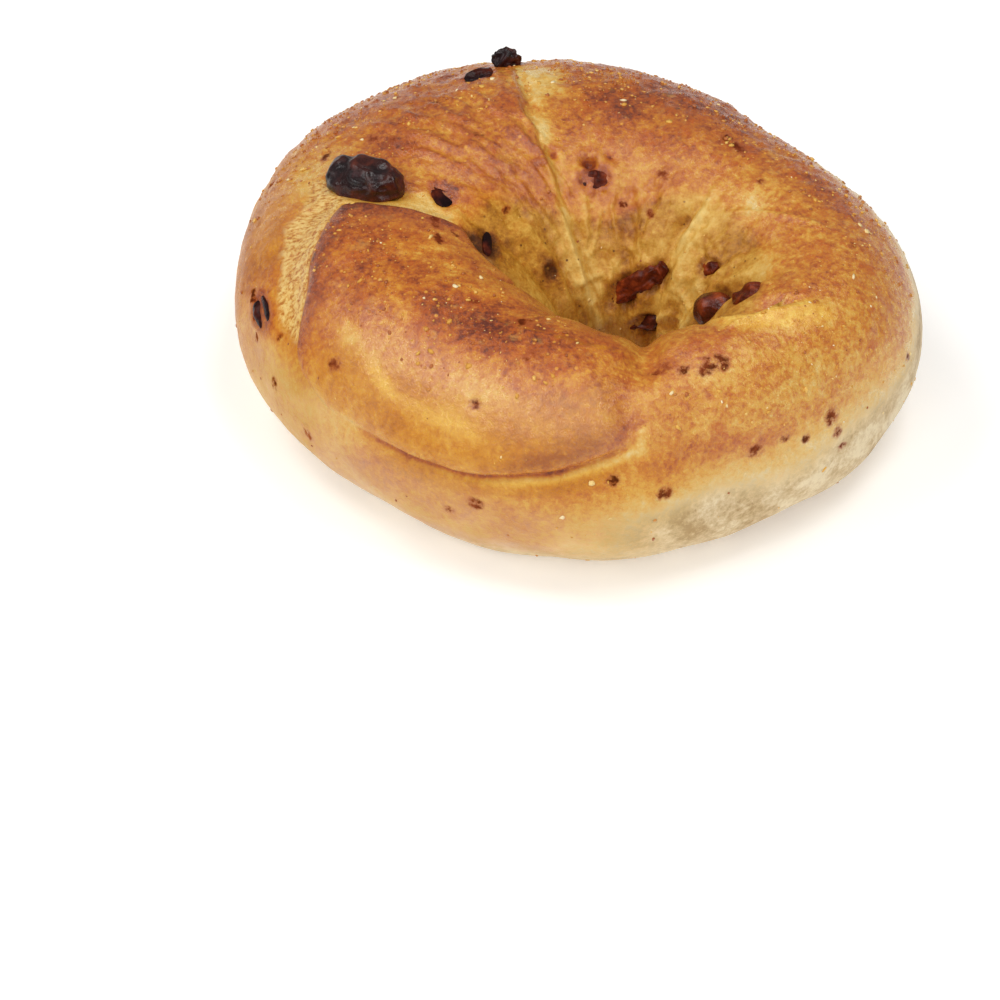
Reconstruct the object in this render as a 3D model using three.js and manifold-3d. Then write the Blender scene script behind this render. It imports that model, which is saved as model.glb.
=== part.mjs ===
// A hand-rolled cinnamon raisin bagel: a ring of dough whose rope end laps over the ring on the near
// side, with a funnel that narrows to an off-centre hole, and raisins baked into the crust.
// Units are millimetres, +Z is up, and the ring lies on Z = 0 with the near side towards -Y.
// A place on the crust is given by two angles in degrees. The ring angle runs round the hole from +X
// (270 is the near side). The section angle runs round the dough's section: 0 is the outer side,
// 90 the crest, 180 the waist of the hole and 270 the underside.

import * as THREE from "three";
import { mergeVertices } from "three/addons/utils/BufferGeometryUtils.js";
import Module from "manifold-3d";

// Driving dimensions of the ring
const RING_RADIUS = 53.7;
const CREST_HEIGHT = 38;
const OUTLINE_WAVES = [
  { count: 1, height: 1.6, peak: 106 },
  { count: 2, height: 3.5, peak: -31 },
  { count: 3, height: 1.3, peak: -8 },
  { count: 4, height: 1.1, peak: -3 },
  { count: 5, height: 0.45, peak: -12 },
];
const CREST_SHARE = 0.605; // crest radius over outer radius
const FOOT_SHARE = 0.44; // radius of the lowest line over outer radius
const BULGE_HEIGHT = 17.6; // where the outer side is widest
const HOLE_RADIUS = 8;
const HOLE_OVAL = { height: 1.2, peak: 150 };
const HOLE_HEIGHT = 10.8; // where the hole is narrowest
const HOLE_SHIFT = new THREE.Vector2(9.2, -9.5); // the hole sits off the ring's centre
const FLAT_FOOT = 0.9; // how much of the rounded underside the tray pressed flat
const ROUNDNESS = [2.1, 2.05, 2.2, 2.6]; // section quarters: outer top, funnel, hole's lower lip, foot
const NEAR_FUNNEL = 0.56; // the funnel's near side is this much less round, so it falls away sooner

// The lapped rope end: its lower edge on the crust, and how it stands proud
const LAP_EDGE = [
  [174, 74],
  [190, 60],
  [203, 45],
  [208.5, 30],
  [215, 20.5],
  [232, 16.5],
  [249, 15.5],
  [262, 21.5],
  [273, 29.5],
  [281, 38],
];
const LAP = { rise: 2, groove: 0.7, shoulder: 5, bluntShoulder: 2.2, farShoulder: 5 };
const LAP_BLEND = { from: 42, to: 92, shoulder: 13 }; // its far end melts into the ring above these
const LAP_FADE = [105, 150]; // section angles over which the lap sinks into the funnel
// The inner corner of its blunt end overhangs the funnel: where its edge runs, and how it stands proud
const INNER_CORNER = { section: 116, lean: 0.36, shoulder: 3.5, swell: 0.4, until: 222 };
const STRETCHED_SKIN = { middle: 4.2, width: 3.4, depth: 0.8, until: 216 }; // trough by the blunt end

// The older seam on the far side, where one stretch of rope overlaps the next
const SEAM = { angle: 111, lean: 0.19, rise: 1.2, groove: 0.8, reach: 24, from: 58 };

// Creases that run down the funnel to the hole: ring angle at the top and at the waist, and depth
const CREASES = [
  { top: 37, waist: 57, depth: 1.4 },
  { top: 358, waist: 24, depth: 1.1 },
  { top: 342, waist: 5, depth: 1.1 },
  { top: 80, waist: 88, depth: 0.7 },
  { top: 137, waist: 136, depth: 0.8 },
  { top: 160, waist: 158, depth: 0.7 },
  { top: 212, waist: 205, depth: 0.8 },
  { top: 245, waist: 240, depth: 0.9 },
  { top: 308, waist: 316, depth: 0.9 },
];
const CREASE_WIDTH = 1.3;
const CREASE_SPAN = { from: 100, to: 175, start: [102, 126], end: [172, 186] };

const NEAR_RIM = { from: 199, to: 324, section: 124, rise: 1.6 }; // the near rim leans over the hole
const NOTCH = { angle: 284, halfWidth: 6, depth: 2.6 }; // dip in the rim past the lap's end
const LIP = { angle: 320, section: 97, lean: -1.55, depth: 1.8, width: 9, halfLength: 13 };
const UNDER_LAP_SWELL = { from: 212, to: 292, section: 6, rise: 0.9 };
const LUMPS = [
  { ring: 5, section: 2, height: 0.2, phase: 0.6 },
  { ring: 9, section: 3, height: 0.15, phase: 2.1 },
  { ring: 13, section: 4, height: 0.12, phase: 4.0 },
];

// Raisins: place on the crust, length x width x thickness, turn of the length from the ring's run,
// and how deep the middle lies under the crust
const RAISINS = [
  { place: [164.5, 80], size: [13.2, 7.6, 6], turn: 84, sink: -0.7 },
  { place: [158.3, 105], size: [5, 3.8, 3.6], turn: 50, sink: 0.6 },
  { place: [169, 124], size: [5.2, 3.6, 3.4], turn: 20, sink: 0.5 },
  { place: [77, 156], size: [11.4, 4.8, 4.2], turn: 36, sink: 0.4 },
  { place: [63, 168.5], size: [5.4, 3, 3], turn: 25, sink: 0.5 },
  { place: [353.5, 143], size: [7.6, 5.8, 5.4], turn: 70, sink: 0.2 },
  { place: [338, 121], size: [5.8, 4.4, 4], turn: 70, sink: 0.5 },
  { place: [17, 136], size: [3.6, 3, 2.8], turn: 40, sink: 0.5 },
  { place: [106.7, 59], size: [4.4, 3.6, 4.4], turn: 20, sink: -0.8 },
  { place: [115.3, 69], size: [5.2, 3.2, 3], turn: 10, sink: 0.4 },
  { place: [195, 26], size: [7, 4.6, 4], turn: 12, sink: 0.9 },
  { place: [99.2, 122], size: [5, 3.6, 3.4], turn: 0, sink: 0.8 },
  { place: [33, 20], size: [8, 5.4, 4.6], turn: 30, sink: 0.8 },
  { place: [82, -4], size: [6.8, 4.8, 4.2], turn: 65, sink: 0.7 },
  { place: [140, 12], size: [7.6, 5, 4.4], turn: 15, sink: 0.6 },
];
const RAISIN_GAP = 0.35; // clearance between a raisin and its pocket
const RAISIN_LUMPS = { count: 5, height: 0.06 };

// Facets
const RING_STEPS = 112;
const SECTION_STEPS = 42;
const EDGE_ROW = 45; // section angle of the row of points that bends to follow the lap's lower edge
const EDGE_REACH = 100; // section angles over which the bend dies out
const EDGE_FADE = 25; // ring angles past the lap's ends, or beside the seam, over which it dies out
const FINE_SPREAD = 5; // degrees on either side of an edge where the steps close up
const FINE_GAIN = 2; // extra density of steps at an edge
const FOOT_COARSE = 0.45; // density of section steps on the underside
const RAISIN_FACETS = [10, 6];

const COLOURS = { crust: 0xc07a3c, raisin: 0x3a2622 };

const { clamp, degToRad: radians, euclideanModulo: modulo } = THREE.MathUtils;
const smooth = (low, high, x) => {
  const share = clamp((x - low) / (high - low), 0, 1);
  return share * share * (3 - 2 * share);
};
const bell = (x, width) => Math.exp(-((x / width) ** 2));
const roundShoulder = (share) => Math.sqrt(1 - (1 - clamp(share, 0, 1)) ** 2);
// Signed difference of two ring angles, in -180..180 degrees
const turnTo = (a, b) => modulo(a - b + 180, 360) - 180;

// A point on the ring before any relief
function plainPoint(ring, section) {
  const a = radians(ring);
  const s = radians(section);
  const outer = OUTLINE_WAVES.reduce(
    (radius, wave) => radius + wave.height * Math.cos(wave.count * radians(ring - wave.peak)),
    RING_RADIUS,
  );
  const crest = CREST_SHARE * outer;
  const foot = FOOT_SHARE * outer;
  const hole = HOLE_RADIUS + HOLE_OVAL.height * Math.cos(2 * radians(ring - HOLE_OVAL.peak));
  const top = CREST_HEIGHT + FLAT_FOOT;
  const quarter = Math.floor(modulo(section, 360) / 90);
  const nearness = quarter === 1 ? (1 - Math.sin(a)) / 2 : 0;
  const power = 2 / (ROUNDNESS[quarter] - NEAR_FUNNEL * nearness);
  const c = Math.abs(Math.cos(s)) ** power;
  const v = Math.abs(Math.sin(s)) ** power;
  const [radius, height] = [
    [crest + (outer - crest) * c, BULGE_HEIGHT + (top - BULGE_HEIGHT) * v],
    [crest - (crest - hole) * c, HOLE_HEIGHT + (top - HOLE_HEIGHT) * v],
    [foot - (foot - hole) * c, HOLE_HEIGHT * (1 - v)],
    [foot + (outer - foot) * c, BULGE_HEIGHT * (1 - v)],
  ][quarter];
  const shift = (1 - Math.cos(s)) / 2; // the side at the hole moves with the hole
  return new THREE.Vector3(
    radius * Math.cos(a) + HOLE_SHIFT.x * shift,
    radius * Math.sin(a) + HOLE_SHIFT.y * shift,
    height - FLAT_FOOT,
  );
}

// Outward direction of the plain ring, from its two surface directions
function plainNormal(ring, section) {
  const step = 0.5;
  const along = plainPoint(ring + step, section).sub(plainPoint(ring - step, section));
  const across = plainPoint(ring, section + step).sub(plainPoint(ring, section - step));
  return along.cross(across).normalize();
}

// Lengths of one degree of ring angle and one degree of section angle, in millimetres
function degreeLengths(ring, section) {
  const here = plainPoint(ring, section);
  return [
    plainPoint(ring + 1, section).distanceTo(here),
    plainPoint(ring, section + 1).distanceTo(here),
  ];
}

// Section angle of the lap's lower edge, a smooth curve through its points, level past its ends
function lapEdge(ring) {
  const last = LAP_EDGE.length - 1;
  const x = clamp(ring, LAP_EDGE[0][0], LAP_EDGE[last][0]);
  const i = Math.min(last - 1, LAP_EDGE.findLastIndex(([start]) => start <= x));
  const point = (k) => LAP_EDGE[clamp(k, 0, last)];
  const slope = (k) => (point(k + 1)[1] - point(k - 1)[1]) / (point(k + 1)[0] - point(k - 1)[0]);
  const [[x0, y0], [x1, y1]] = [point(i), point(i + 1)];
  const width = x1 - x0;
  const t = (x - x0) / width;
  return (
    y0 * (1 + 2 * t) * (1 - t) ** 2 +
    y1 * t * t * (3 - 2 * t) +
    width * slope(i) * t * (1 - t) ** 2 -
    width * slope(i + 1) * t * t * (1 - t)
  );
}

const LAP_FROM = LAP_EDGE[0][0];
const LAP_TO = LAP_EDGE.at(-1)[0];

function lapRelief(ring, section, alongMm, acrossMm) {
  const slope = ((lapEdge(ring + 0.5) - lapEdge(ring - 0.5)) * acrossMm) / alongMm;
  const toEdge = ((section - lapEdge(ring)) * acrossMm) / Math.hypot(1, slope);
  const toBlunt = turnTo(ring, LAP_FROM) * alongMm;
  const toFar = turnTo(LAP_TO, ring) * alongMm;
  const blend = smooth(LAP_BLEND.from, LAP_BLEND.to, section);
  const farShoulder = LAP.farShoulder + (LAP_BLEND.shoulder - LAP.farShoulder) * blend;
  const atCorner = smooth(INNER_CORNER.until, INNER_CORNER.until - 32, ring);
  const cornerEdge = INNER_CORNER.section + INNER_CORNER.lean * (ring - LAP_FROM);
  const cornerShown = roundShoulder(((cornerEdge - section) * acrossMm) / INNER_CORNER.shoulder);
  const fade = smooth(LAP_FADE[1], LAP_FADE[0], section);
  const step =
    LAP.rise *
    (1 + INNER_CORNER.swell * smooth(92, 108, section) * atCorner) *
    roundShoulder(toEdge / LAP.shoulder) *
    roundShoulder(toBlunt / LAP.bluntShoulder) *
    smooth(0, farShoulder, toFar);
  const inside = Math.min(toEdge, toBlunt, toFar + 100 * blend);
  const groove = LAP.groove * bell(inside + 0.5, 0.8) * smooth(-3, -1, toFar);
  const trough =
    STRETCHED_SKIN.depth *
    bell(inside + STRETCHED_SKIN.middle, STRETCHED_SKIN.width) *
    smooth(STRETCHED_SKIN.until, STRETCHED_SKIN.until - 12, ring) *
    smooth(22, 40, section) *
    smooth(-1, -3, inside);
  return (step - groove - trough) * (fade + atCorner * (cornerShown - fade));
}

const seamAngle = (section) => SEAM.angle + SEAM.lean * (section - 90);

function seamRelief(ring, section, alongMm) {
  const past = turnTo(ring, seamAngle(section)) * alongMm;
  const shown = smooth(SEAM.from, SEAM.from + 25, section) * smooth(182, 165, section);
  const step = SEAM.rise * smooth(-0.3, 1.4, past) * smooth(SEAM.reach, 0, past);
  return (step - SEAM.groove * bell(past + 0.5, 1)) * shown;
}

function creaseRelief(ring, section, alongMm) {
  const down = clamp((section - CREASE_SPAN.from) / (CREASE_SPAN.to - CREASE_SPAN.from), 0, 1);
  const shown = smooth(...CREASE_SPAN.start, section) * smooth(...CREASE_SPAN.end.toReversed(), section);
  return CREASES.reduce((sum, crease) => {
    const line = crease.top + turnTo(crease.waist, crease.top) * down;
    return sum - crease.depth * bell(turnTo(ring, line) * alongMm, CREASE_WIDTH) * shown;
  }, 0);
}

// The near rim with its dip, and the lip that hides a hollow with two raisins in it
function rimRelief(ring, section, alongMm, acrossMm) {
  const rim =
    NEAR_RIM.rise *
    smooth(NEAR_RIM.from - 12, NEAR_RIM.from + 12, ring) *
    smooth(NEAR_RIM.to + 12, NEAR_RIM.to - 12, ring) *
    bell(turnTo(section, NEAR_RIM.section), 22);
  const notch =
    NOTCH.depth *
    bell(turnTo(ring, NOTCH.angle), NOTCH.halfWidth) *
    smooth(58, 92, section) *
    smooth(150, 120, section);
  const fromLip = turnTo(ring, LIP.angle);
  const slope = (LIP.lean * acrossMm) / alongMm;
  const behind = ((section - LIP.section - LIP.lean * fromLip) * acrossMm) / Math.hypot(1, slope);
  const hollow =
    LIP.depth *
    smooth(0, 2, behind) *
    smooth(LIP.width, LIP.width / 3, behind) *
    smooth(LIP.halfLength, LIP.halfLength / 2, Math.abs(fromLip));
  return rim - notch - hollow;
}

function swellRelief(ring, section) {
  const swell =
    UNDER_LAP_SWELL.rise *
    smooth(UNDER_LAP_SWELL.from - 12, UNDER_LAP_SWELL.from + 12, ring) *
    smooth(UNDER_LAP_SWELL.to + 12, UNDER_LAP_SWELL.to - 12, ring) *
    bell(turnTo(section, UNDER_LAP_SWELL.section), 20);
  return LUMPS.reduce((sum, lump) => {
    const phase = lump.phase + lump.section * Math.sin(radians(section));
    return sum + lump.height * Math.sin(lump.ring * radians(ring) + phase);
  }, swell);
}

// A point on the finished crust. The tray presses the underside flat at Z = 0.
const RELIEFS = [lapRelief, seamRelief, creaseRelief, rimRelief, swellRelief];
function crustPoint(anyRing, section) {
  const ring = modulo(anyRing, 360);
  const lengths = degreeLengths(ring, section);
  const relief = RELIEFS.reduce((sum, part) => sum + part(ring, section, ...lengths), 0);
  const point = plainPoint(ring, section).addScaledVector(plainNormal(ring, section), relief);
  point.z = Math.max(point.z, 0);
  return point;
}

// Angles round a full turn, closer together where the density is higher
function spacedAngles(count, start, density) {
  const fine = Array.from({ length: 3600 }, (_, i) => start + i / 10);
  const total = fine.reduce((sum, angle) => sum + density(angle), 0);
  const angles = [];
  let passed = 0;
  for (const angle of fine) {
    if (passed >= (angles.length * total) / count) angles.push(angle);
    passed += density(angle);
  }
  return angles.slice(0, count);
}

// The closed grid of the crust. One row of it bends to follow the lap's lower edge, one line bends to
// follow the seam, and the steps close up along the edges, so each edge runs along the facets.
function ringGeometry() {
  const edges = [LAP_FROM, LAP_TO, SEAM.angle];
  const rings = spacedAngles(RING_STEPS, 0, (angle) =>
    edges.reduce((sum, edge) => sum + FINE_GAIN * bell(turnTo(angle, edge), FINE_SPREAD), 1),
  );
  const sections = spacedAngles(SECTION_STEPS, -60, (angle) => {
    const fine = 1 + FINE_GAIN * bell(angle - EDGE_ROW, FINE_SPREAD);
    return fine * degreeLengths(230, angle)[1] * (angle > 200 ? FOOT_COARSE : 1);
  });
  const positions = [];
  for (const ring of rings) {
    const pastLap = Math.max(0, turnTo(LAP_FROM, ring), turnTo(ring, LAP_TO));
    const rowBend = (lapEdge(ring) - EDGE_ROW) * bell(pastLap, EDGE_FADE);
    const lineBend = bell(turnTo(ring, SEAM.angle), EDGE_FADE);
    for (const section of sections) {
      const share = Math.max(0, 1 - Math.abs(section - EDGE_ROW) / EDGE_REACH);
      const bentSection = section + rowBend * share;
      const onSeam = smooth(30, 60, section) * smooth(215, 185, section);
      const bentRing = ring + (seamAngle(section) - SEAM.angle) * lineBend * onSeam;
      positions.push(...crustPoint(bentRing, bentSection));
    }
  }
  const at = (i, j) => (i % rings.length) * sections.length + (j % sections.length);
  const faces = [];
  for (let i = 0; i < rings.length; i++) {
    for (let j = 0; j < sections.length; j++) {
      const [a, b, c, d] = [at(i, j), at(i + 1, j), at(i + 1, j + 1), at(i, j + 1)];
      faces.push(a, b, c, a, c, d);
    }
  }
  return new THREE.BufferGeometry()
    .setAttribute("position", new THREE.Float32BufferAttribute(positions, 3))
    .setIndex(faces);
}

// A raisin as a lumpy ellipsoid in place on the crust, grown all round by a margin
function raisinGeometry({ place, size, turn, sink }, margin) {
  const [ring, section] = place;
  const geometry = new THREE.SphereGeometry(1, ...RAISIN_FACETS);
  const position = geometry.getAttribute("position");
  const point = new THREE.Vector3();
  for (let i = 0; i < position.count; i++) {
    point.fromBufferAttribute(position, i);
    const around = Math.atan2(point.z, point.x);
    const lump = RAISIN_LUMPS.height * Math.sin(RAISIN_LUMPS.count * around + ring) * (1 - point.y ** 2);
    position.setXYZ(i, ...point.multiplyScalar(1 + lump));
  }
  geometry.scale(...size.map((length) => length / 2 + margin));
  const out = plainNormal(ring, section);
  const across = plainPoint(ring, section + 1).sub(plainPoint(ring, section)).normalize();
  const along = across.clone().cross(out).normalize();
  const length = along.multiplyScalar(Math.cos(radians(turn))).addScaledVector(across, Math.sin(radians(turn)));
  const width = out.clone().cross(length).normalize();
  geometry.applyMatrix4(new THREE.Matrix4().makeBasis(length, width, out));
  geometry.translate(...crustPoint(ring, section).addScaledVector(out, -sink));
  return geometry;
}

const wasm = await Module();
wasm.setup();

function solidOf(geometry) {
  const bare = geometry.clone().deleteAttribute("normal").deleteAttribute("uv");
  const merged = mergeVertices(bare, 1e-4);
  return new wasm.Manifold(
    new wasm.Mesh({
      numProp: 3,
      vertProperties: merged.getAttribute("position").array,
      triVerts: new Uint32Array(merged.index.array),
    }),
  );
}

function geometryOf(solid) {
  const { vertProperties, triVerts } = solid.getMesh();
  const geometry = new THREE.BufferGeometry()
    .setAttribute("position", new THREE.BufferAttribute(vertProperties, 3))
    .setIndex(new THREE.BufferAttribute(triVerts, 1));
  geometry.computeVertexNormals();
  return geometry;
}

function addPiece(group, name, geometry, color, roughness) {
  const material = new THREE.MeshStandardMaterial({ color, roughness, metalness: 0 });
  const mesh = new THREE.Mesh(geometry, material);
  mesh.name = name;
  group.add(mesh);
}

// Each raisin lies in its own pocket of the ring
const dough = new THREE.Group();
const crust = RAISINS.reduce(
  (solid, raisin) => solid.subtract(solidOf(raisinGeometry(raisin, RAISIN_GAP))),
  solidOf(ringGeometry()),
);
addPiece(dough, "bagel", geometryOf(crust), COLOURS.crust, 0.5);
RAISINS.forEach((raisin, i) => {
  const name = `raisin_${String(i + 1).padStart(2, "0")}`;
  addPiece(dough, name, raisinGeometry(raisin, 0), COLOURS.raisin, 0.4);
});

// The origin is under the middle of the whole bagel
const box = new THREE.Box3().setFromObject(dough);
const middle = box.getCenter(new THREE.Vector3());
dough.position.set(-middle.x, -middle.y, -box.min.z);

const bagel = new THREE.Group();
bagel.add(dough);
export default bagel;
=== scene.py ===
import math

import bmesh
import bpy
import numpy as np
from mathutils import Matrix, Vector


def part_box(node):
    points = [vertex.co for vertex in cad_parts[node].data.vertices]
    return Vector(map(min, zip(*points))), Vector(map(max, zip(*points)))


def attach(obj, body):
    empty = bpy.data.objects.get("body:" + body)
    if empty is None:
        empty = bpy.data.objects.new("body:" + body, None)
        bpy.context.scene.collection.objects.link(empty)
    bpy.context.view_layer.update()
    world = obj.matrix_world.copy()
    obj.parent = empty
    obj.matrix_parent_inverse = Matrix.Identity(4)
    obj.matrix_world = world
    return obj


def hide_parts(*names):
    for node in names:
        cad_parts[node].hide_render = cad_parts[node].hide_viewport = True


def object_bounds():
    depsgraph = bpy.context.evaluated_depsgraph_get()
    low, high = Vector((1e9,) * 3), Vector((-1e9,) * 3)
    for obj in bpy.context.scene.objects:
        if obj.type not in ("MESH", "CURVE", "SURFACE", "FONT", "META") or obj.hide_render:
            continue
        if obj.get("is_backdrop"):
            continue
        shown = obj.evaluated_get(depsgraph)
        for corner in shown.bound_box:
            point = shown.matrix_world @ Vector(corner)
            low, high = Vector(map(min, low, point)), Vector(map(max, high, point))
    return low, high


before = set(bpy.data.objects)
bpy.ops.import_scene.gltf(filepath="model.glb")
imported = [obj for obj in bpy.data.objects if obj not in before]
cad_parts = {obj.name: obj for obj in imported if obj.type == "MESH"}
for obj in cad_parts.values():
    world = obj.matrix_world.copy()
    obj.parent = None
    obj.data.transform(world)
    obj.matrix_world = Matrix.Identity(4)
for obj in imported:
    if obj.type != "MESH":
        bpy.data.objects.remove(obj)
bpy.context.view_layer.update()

# The dough ring
# A rope of yeast dough rolled by hand, bent round and lapped over its own end on the near side, then
# boiled and baked. It lies on the foot that the tray flattened.

# A place on the ring is two angles in degrees. The ring angle runs round the hole from +X, with the near
# side at 270. The section angle runs round the dough: 0 outer side, 90 crest, 180 hole, 270 foot.
MM = 0.001
RING_RADIUS = 53.7
CREST_HEIGHT = 38.0
# Waves of the outline: how many go round, their height in millimetres, and the ring angle of a peak
OUTLINE_WAVES = ((1, 1.6, 106), (2, 3.5, -31), (3, 1.3, -8), (4, 1.1, -3), (5, 0.45, -12))
# Where the crest and the foot lie, as shares of the outer radius
CREST_SHARE = 0.605
FOOT_SHARE = 0.44
BULGE_HEIGHT = 17.6
HOLE_RADIUS = 8.0
HOLE_OVAL = 1.2
HOLE_OVAL_PEAK = 150
HOLE_HEIGHT = 10.8
HOLE_SHIFT = (9.2, -9.5)
FLAT_FOOT = 0.9
# How full each quarter of the section is, going on from the outer side. 2 is an ellipse.
ROUNDNESS = (2.1, 2.05, 2.2, 2.6)
NEAR_FUNNEL = 0.56


def smooth(low, high, x):
    """0 at low and 1 at high, with a smooth step between them. The low one may be the greater."""
    share = np.clip((x - low) / (high - low), 0, 1)
    return share * share * (3 - 2 * share)


def bell(x, width):
    """1 at 0, falling to about a third at the width."""
    return np.exp(-((x / width) ** 2))


def turn_to(angle, start):
    """Degrees from the start to the angle, the short way round."""
    return (angle - start + 180) % 360 - 180


def plain_point(ring, section):
    """Points of the ring before any relief, in millimetres."""
    turn, roll = np.radians(ring), np.radians(section)
    waves = sum(high * np.cos(n * np.radians(ring - peak)) for n, high, peak in OUTLINE_WAVES)
    outer = RING_RADIUS + waves
    crest, foot = CREST_SHARE * outer, FOOT_SHARE * outer
    hole = HOLE_RADIUS + HOLE_OVAL * np.cos(2 * np.radians(ring - HOLE_OVAL_PEAK))
    top = CREST_HEIGHT + FLAT_FOOT
    quarter = np.floor(section % 360 / 90).astype(int)
    hollowed = np.where(quarter == 1, NEAR_FUNNEL * (1 - np.sin(turn)) / 2, 0)
    roundness = np.array(ROUNDNESS)[quarter] - hollowed
    level = np.abs(np.cos(roll)) ** (2 / roundness)
    upright = np.abs(np.sin(roll)) ** (2 / roundness)
    radius = np.choose(
        quarter,
        [
            crest + (outer - crest) * level,
            crest - (crest - hole) * level,
            foot - (foot - hole) * level,
            foot + (outer - foot) * level,
        ],
    )
    height = np.choose(
        quarter,
        [
            BULGE_HEIGHT + (top - BULGE_HEIGHT) * upright,
            HOLE_HEIGHT + (top - HOLE_HEIGHT) * upright,
            HOLE_HEIGHT * (1 - upright),
            BULGE_HEIGHT * (1 - upright),
        ],
    )
    shift = (1 - np.cos(roll)) / 2
    return np.stack(
        [
            radius * np.cos(turn) + HOLE_SHIFT[0] * shift,
            radius * np.sin(turn) + HOLE_SHIFT[1] * shift,
            height - FLAT_FOOT,
        ],
        axis=-1,
    )


def plain_normal(ring, section):
    """The way out of the ring before any relief, from points half a degree to each side."""
    along = plain_point(ring + 0.5, section) - plain_point(ring - 0.5, section)
    across = plain_point(ring, section + 0.5) - plain_point(ring, section - 0.5)
    out = np.cross(along, across)
    return out / np.linalg.norm(out, axis=-1, keepdims=True)


# Random heights at the corners of a block of cells, which each seed reads from another place
LATTICE_SIDE = 64
LATTICE_SEED = 11
SEED_SHIFT = 17.3
lattice = np.random.default_rng(LATTICE_SEED).uniform(-1, 1, (LATTICE_SIDE, LATTICE_SIDE, LATTICE_SIDE))


def lumps(points, size, seed=0):
    """Smooth random heights between -1 and 1, with lumps about size millimetres apart."""
    cell = points / size + SEED_SHIFT * seed
    corner = np.floor(cell).astype(int)
    part = cell - corner
    part = part * part * (3 - 2 * part)
    total = np.zeros(points.shape[:-1])
    for step in np.ndindex(2, 2, 2):
        at = (corner + step) % LATTICE_SIDE
        weight = np.prod(np.where(step, part, 1 - part), axis=-1)
        total += weight * lattice[at[..., 0], at[..., 1], at[..., 2]]
    return total


def shifts(points, size, seeds):
    """Random shifts that bend a pattern, with a seed for each direction."""
    return np.stack([lumps(points, size, seed) for seed in seeds], axis=-1)


# The lap's lower edge as ring and section angles, and how far the lap stands proud, in millimetres
LAP_EDGE = (
    (174, 74), (190, 60), (203, 45), (208.5, 30), (215, 20.5),
    (232, 16.5), (249, 15.5), (262, 21.5), (273, 29.5), (281, 38),
)
LAP_FROM, LAP_TO = LAP_EDGE[0][0], LAP_EDGE[-1][0]
LAP_RISE = 2.0
LAP_GROOVE = 0.4


def lap_edge(ring):
    """Section angle of the lap's lower edge, a smooth curve through its places."""
    places, angles = np.array(LAP_EDGE).T
    slopes = np.gradient(angles, places)
    at = np.clip(ring, LAP_FROM, LAP_TO)
    i = np.clip(np.searchsorted(places, at, side="right") - 1, 0, len(places) - 2)
    width = places[i + 1] - places[i]
    share = (at - places[i]) / width
    rest = 1 - share
    ends = angles[i] * (1 + 2 * share) * rest**2 + angles[i + 1] * share * share * (3 - 2 * share)
    return ends + width * (slopes[i] * share * rest**2 - slopes[i + 1] * share * share * rest)


# A closed grid of points, closest together at the lap's edges and the seam. Its rows bend to follow the
# lap's lower edge, so that edge is crisp.
RING_STEPS = 448
SECTION_STEPS = 222
FIRST_SECTION = -60
EDGE_ROW = 45
EDGE_ROW_REACH = 100
LAP_MIDDLE = 230.0
SEAM_MIDDLE = 113
UNDERSIDE_FROM = 200
FINE_STEP = 0.05


def spaced(count, start, density):
    """Angles round a full turn, closer together where the density is higher."""
    fine = start + np.arange(0, 360, FINE_STEP)
    passed = np.concatenate([[0], np.cumsum(density(fine))])
    return np.interp(np.arange(count) * passed[-1] / count, passed[:-1], fine)


def ring_density(angle):
    """Higher at both ends of the lap and at the seam."""
    return 1 + sum(1.2 * bell(turn_to(angle, edge), 6) for edge in (LAP_FROM, LAP_TO, SEAM_MIDDLE))


def section_density(angle):
    """Even steps in millimetres, with more at the lap's edge and fewer on the underside."""
    row = plain_point(np.full(angle.shape, LAP_MIDDLE), angle)
    row_steps = np.linalg.norm(np.diff(row, axis=0, append=row[:1]), axis=1)
    return row_steps * np.where(angle > UNDERSIDE_FROM, 0.35, 1) * (1 + 1.5 * bell(angle - EDGE_ROW, 5))


rings = spaced(RING_STEPS, 0, ring_density)
sections = spaced(SECTION_STEPS, FIRST_SECTION, section_density)
past_lap = np.maximum(0, np.maximum(turn_to(LAP_FROM, rings), turn_to(rings, LAP_TO)))
row_bend = (lap_edge(rings) - EDGE_ROW) * bell(past_lap, 25)
row_share = np.clip(1 - np.abs(sections - EDGE_ROW) / EDGE_ROW_REACH, 0, 1)
section = sections[None, :] + row_bend[:, None] * row_share[None, :]
ring = np.broadcast_to(rings[:, None], section.shape)
plain = plain_point(ring, section)
out = plain_normal(ring, section)
# Millimetres in a degree, along the ring and across it
along_mm = np.linalg.norm(plain_point(ring + 1, section) - plain, axis=-1)
across_mm = np.linalg.norm(plain_point(ring, section + 1) - plain, axis=-1)


def rounded(share):
    """The side of a quarter circle, steep at 0 and level at 1."""
    return np.sqrt(1 - (1 - np.clip(share, 0, 1)) ** 2)


# The lapped rope end, worked out from how many millimetres a point lies inside its lower edge, its blunt end
# on the left, its far end on the right, where it melts into the ring, and its inner corner beside the hole
edge_slope = (lap_edge(ring + 0.5) - lap_edge(ring - 0.5)) * across_mm / along_mm
to_edge = (section - lap_edge(ring)) * across_mm / np.hypot(1, edge_slope)
to_edge = to_edge + 0.35 * lumps(plain, 5, 1)
to_blunt = turn_to(ring, LAP_FROM) * along_mm + 0.4 * lumps(plain, 4, 2)
to_far = turn_to(LAP_TO, ring) * along_mm
melt = smooth(42, 92, section)
softened = 0.8 * bell(turn_to(ring, 224), 9)
lap_side = rounded(to_edge / 5) * (1 - softened) + smooth(-3, 8, to_edge) * softened
lap = lap_side * rounded(to_blunt / 2.2) * smooth(0, 5 + 8 * melt, to_far)
inside_lap = np.minimum(np.minimum(to_edge, to_blunt), to_far + 100 * melt)
at_corner = smooth(222, 190, ring)
to_corner = (116 + 0.36 * (ring - LAP_FROM) - section) * across_mm + 0.4 * lumps(plain, 4, 26)
fade = smooth(150, 105, section)
lap = lap * (1 + 0.4 * smooth(92, 108, section) * at_corner)
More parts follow.
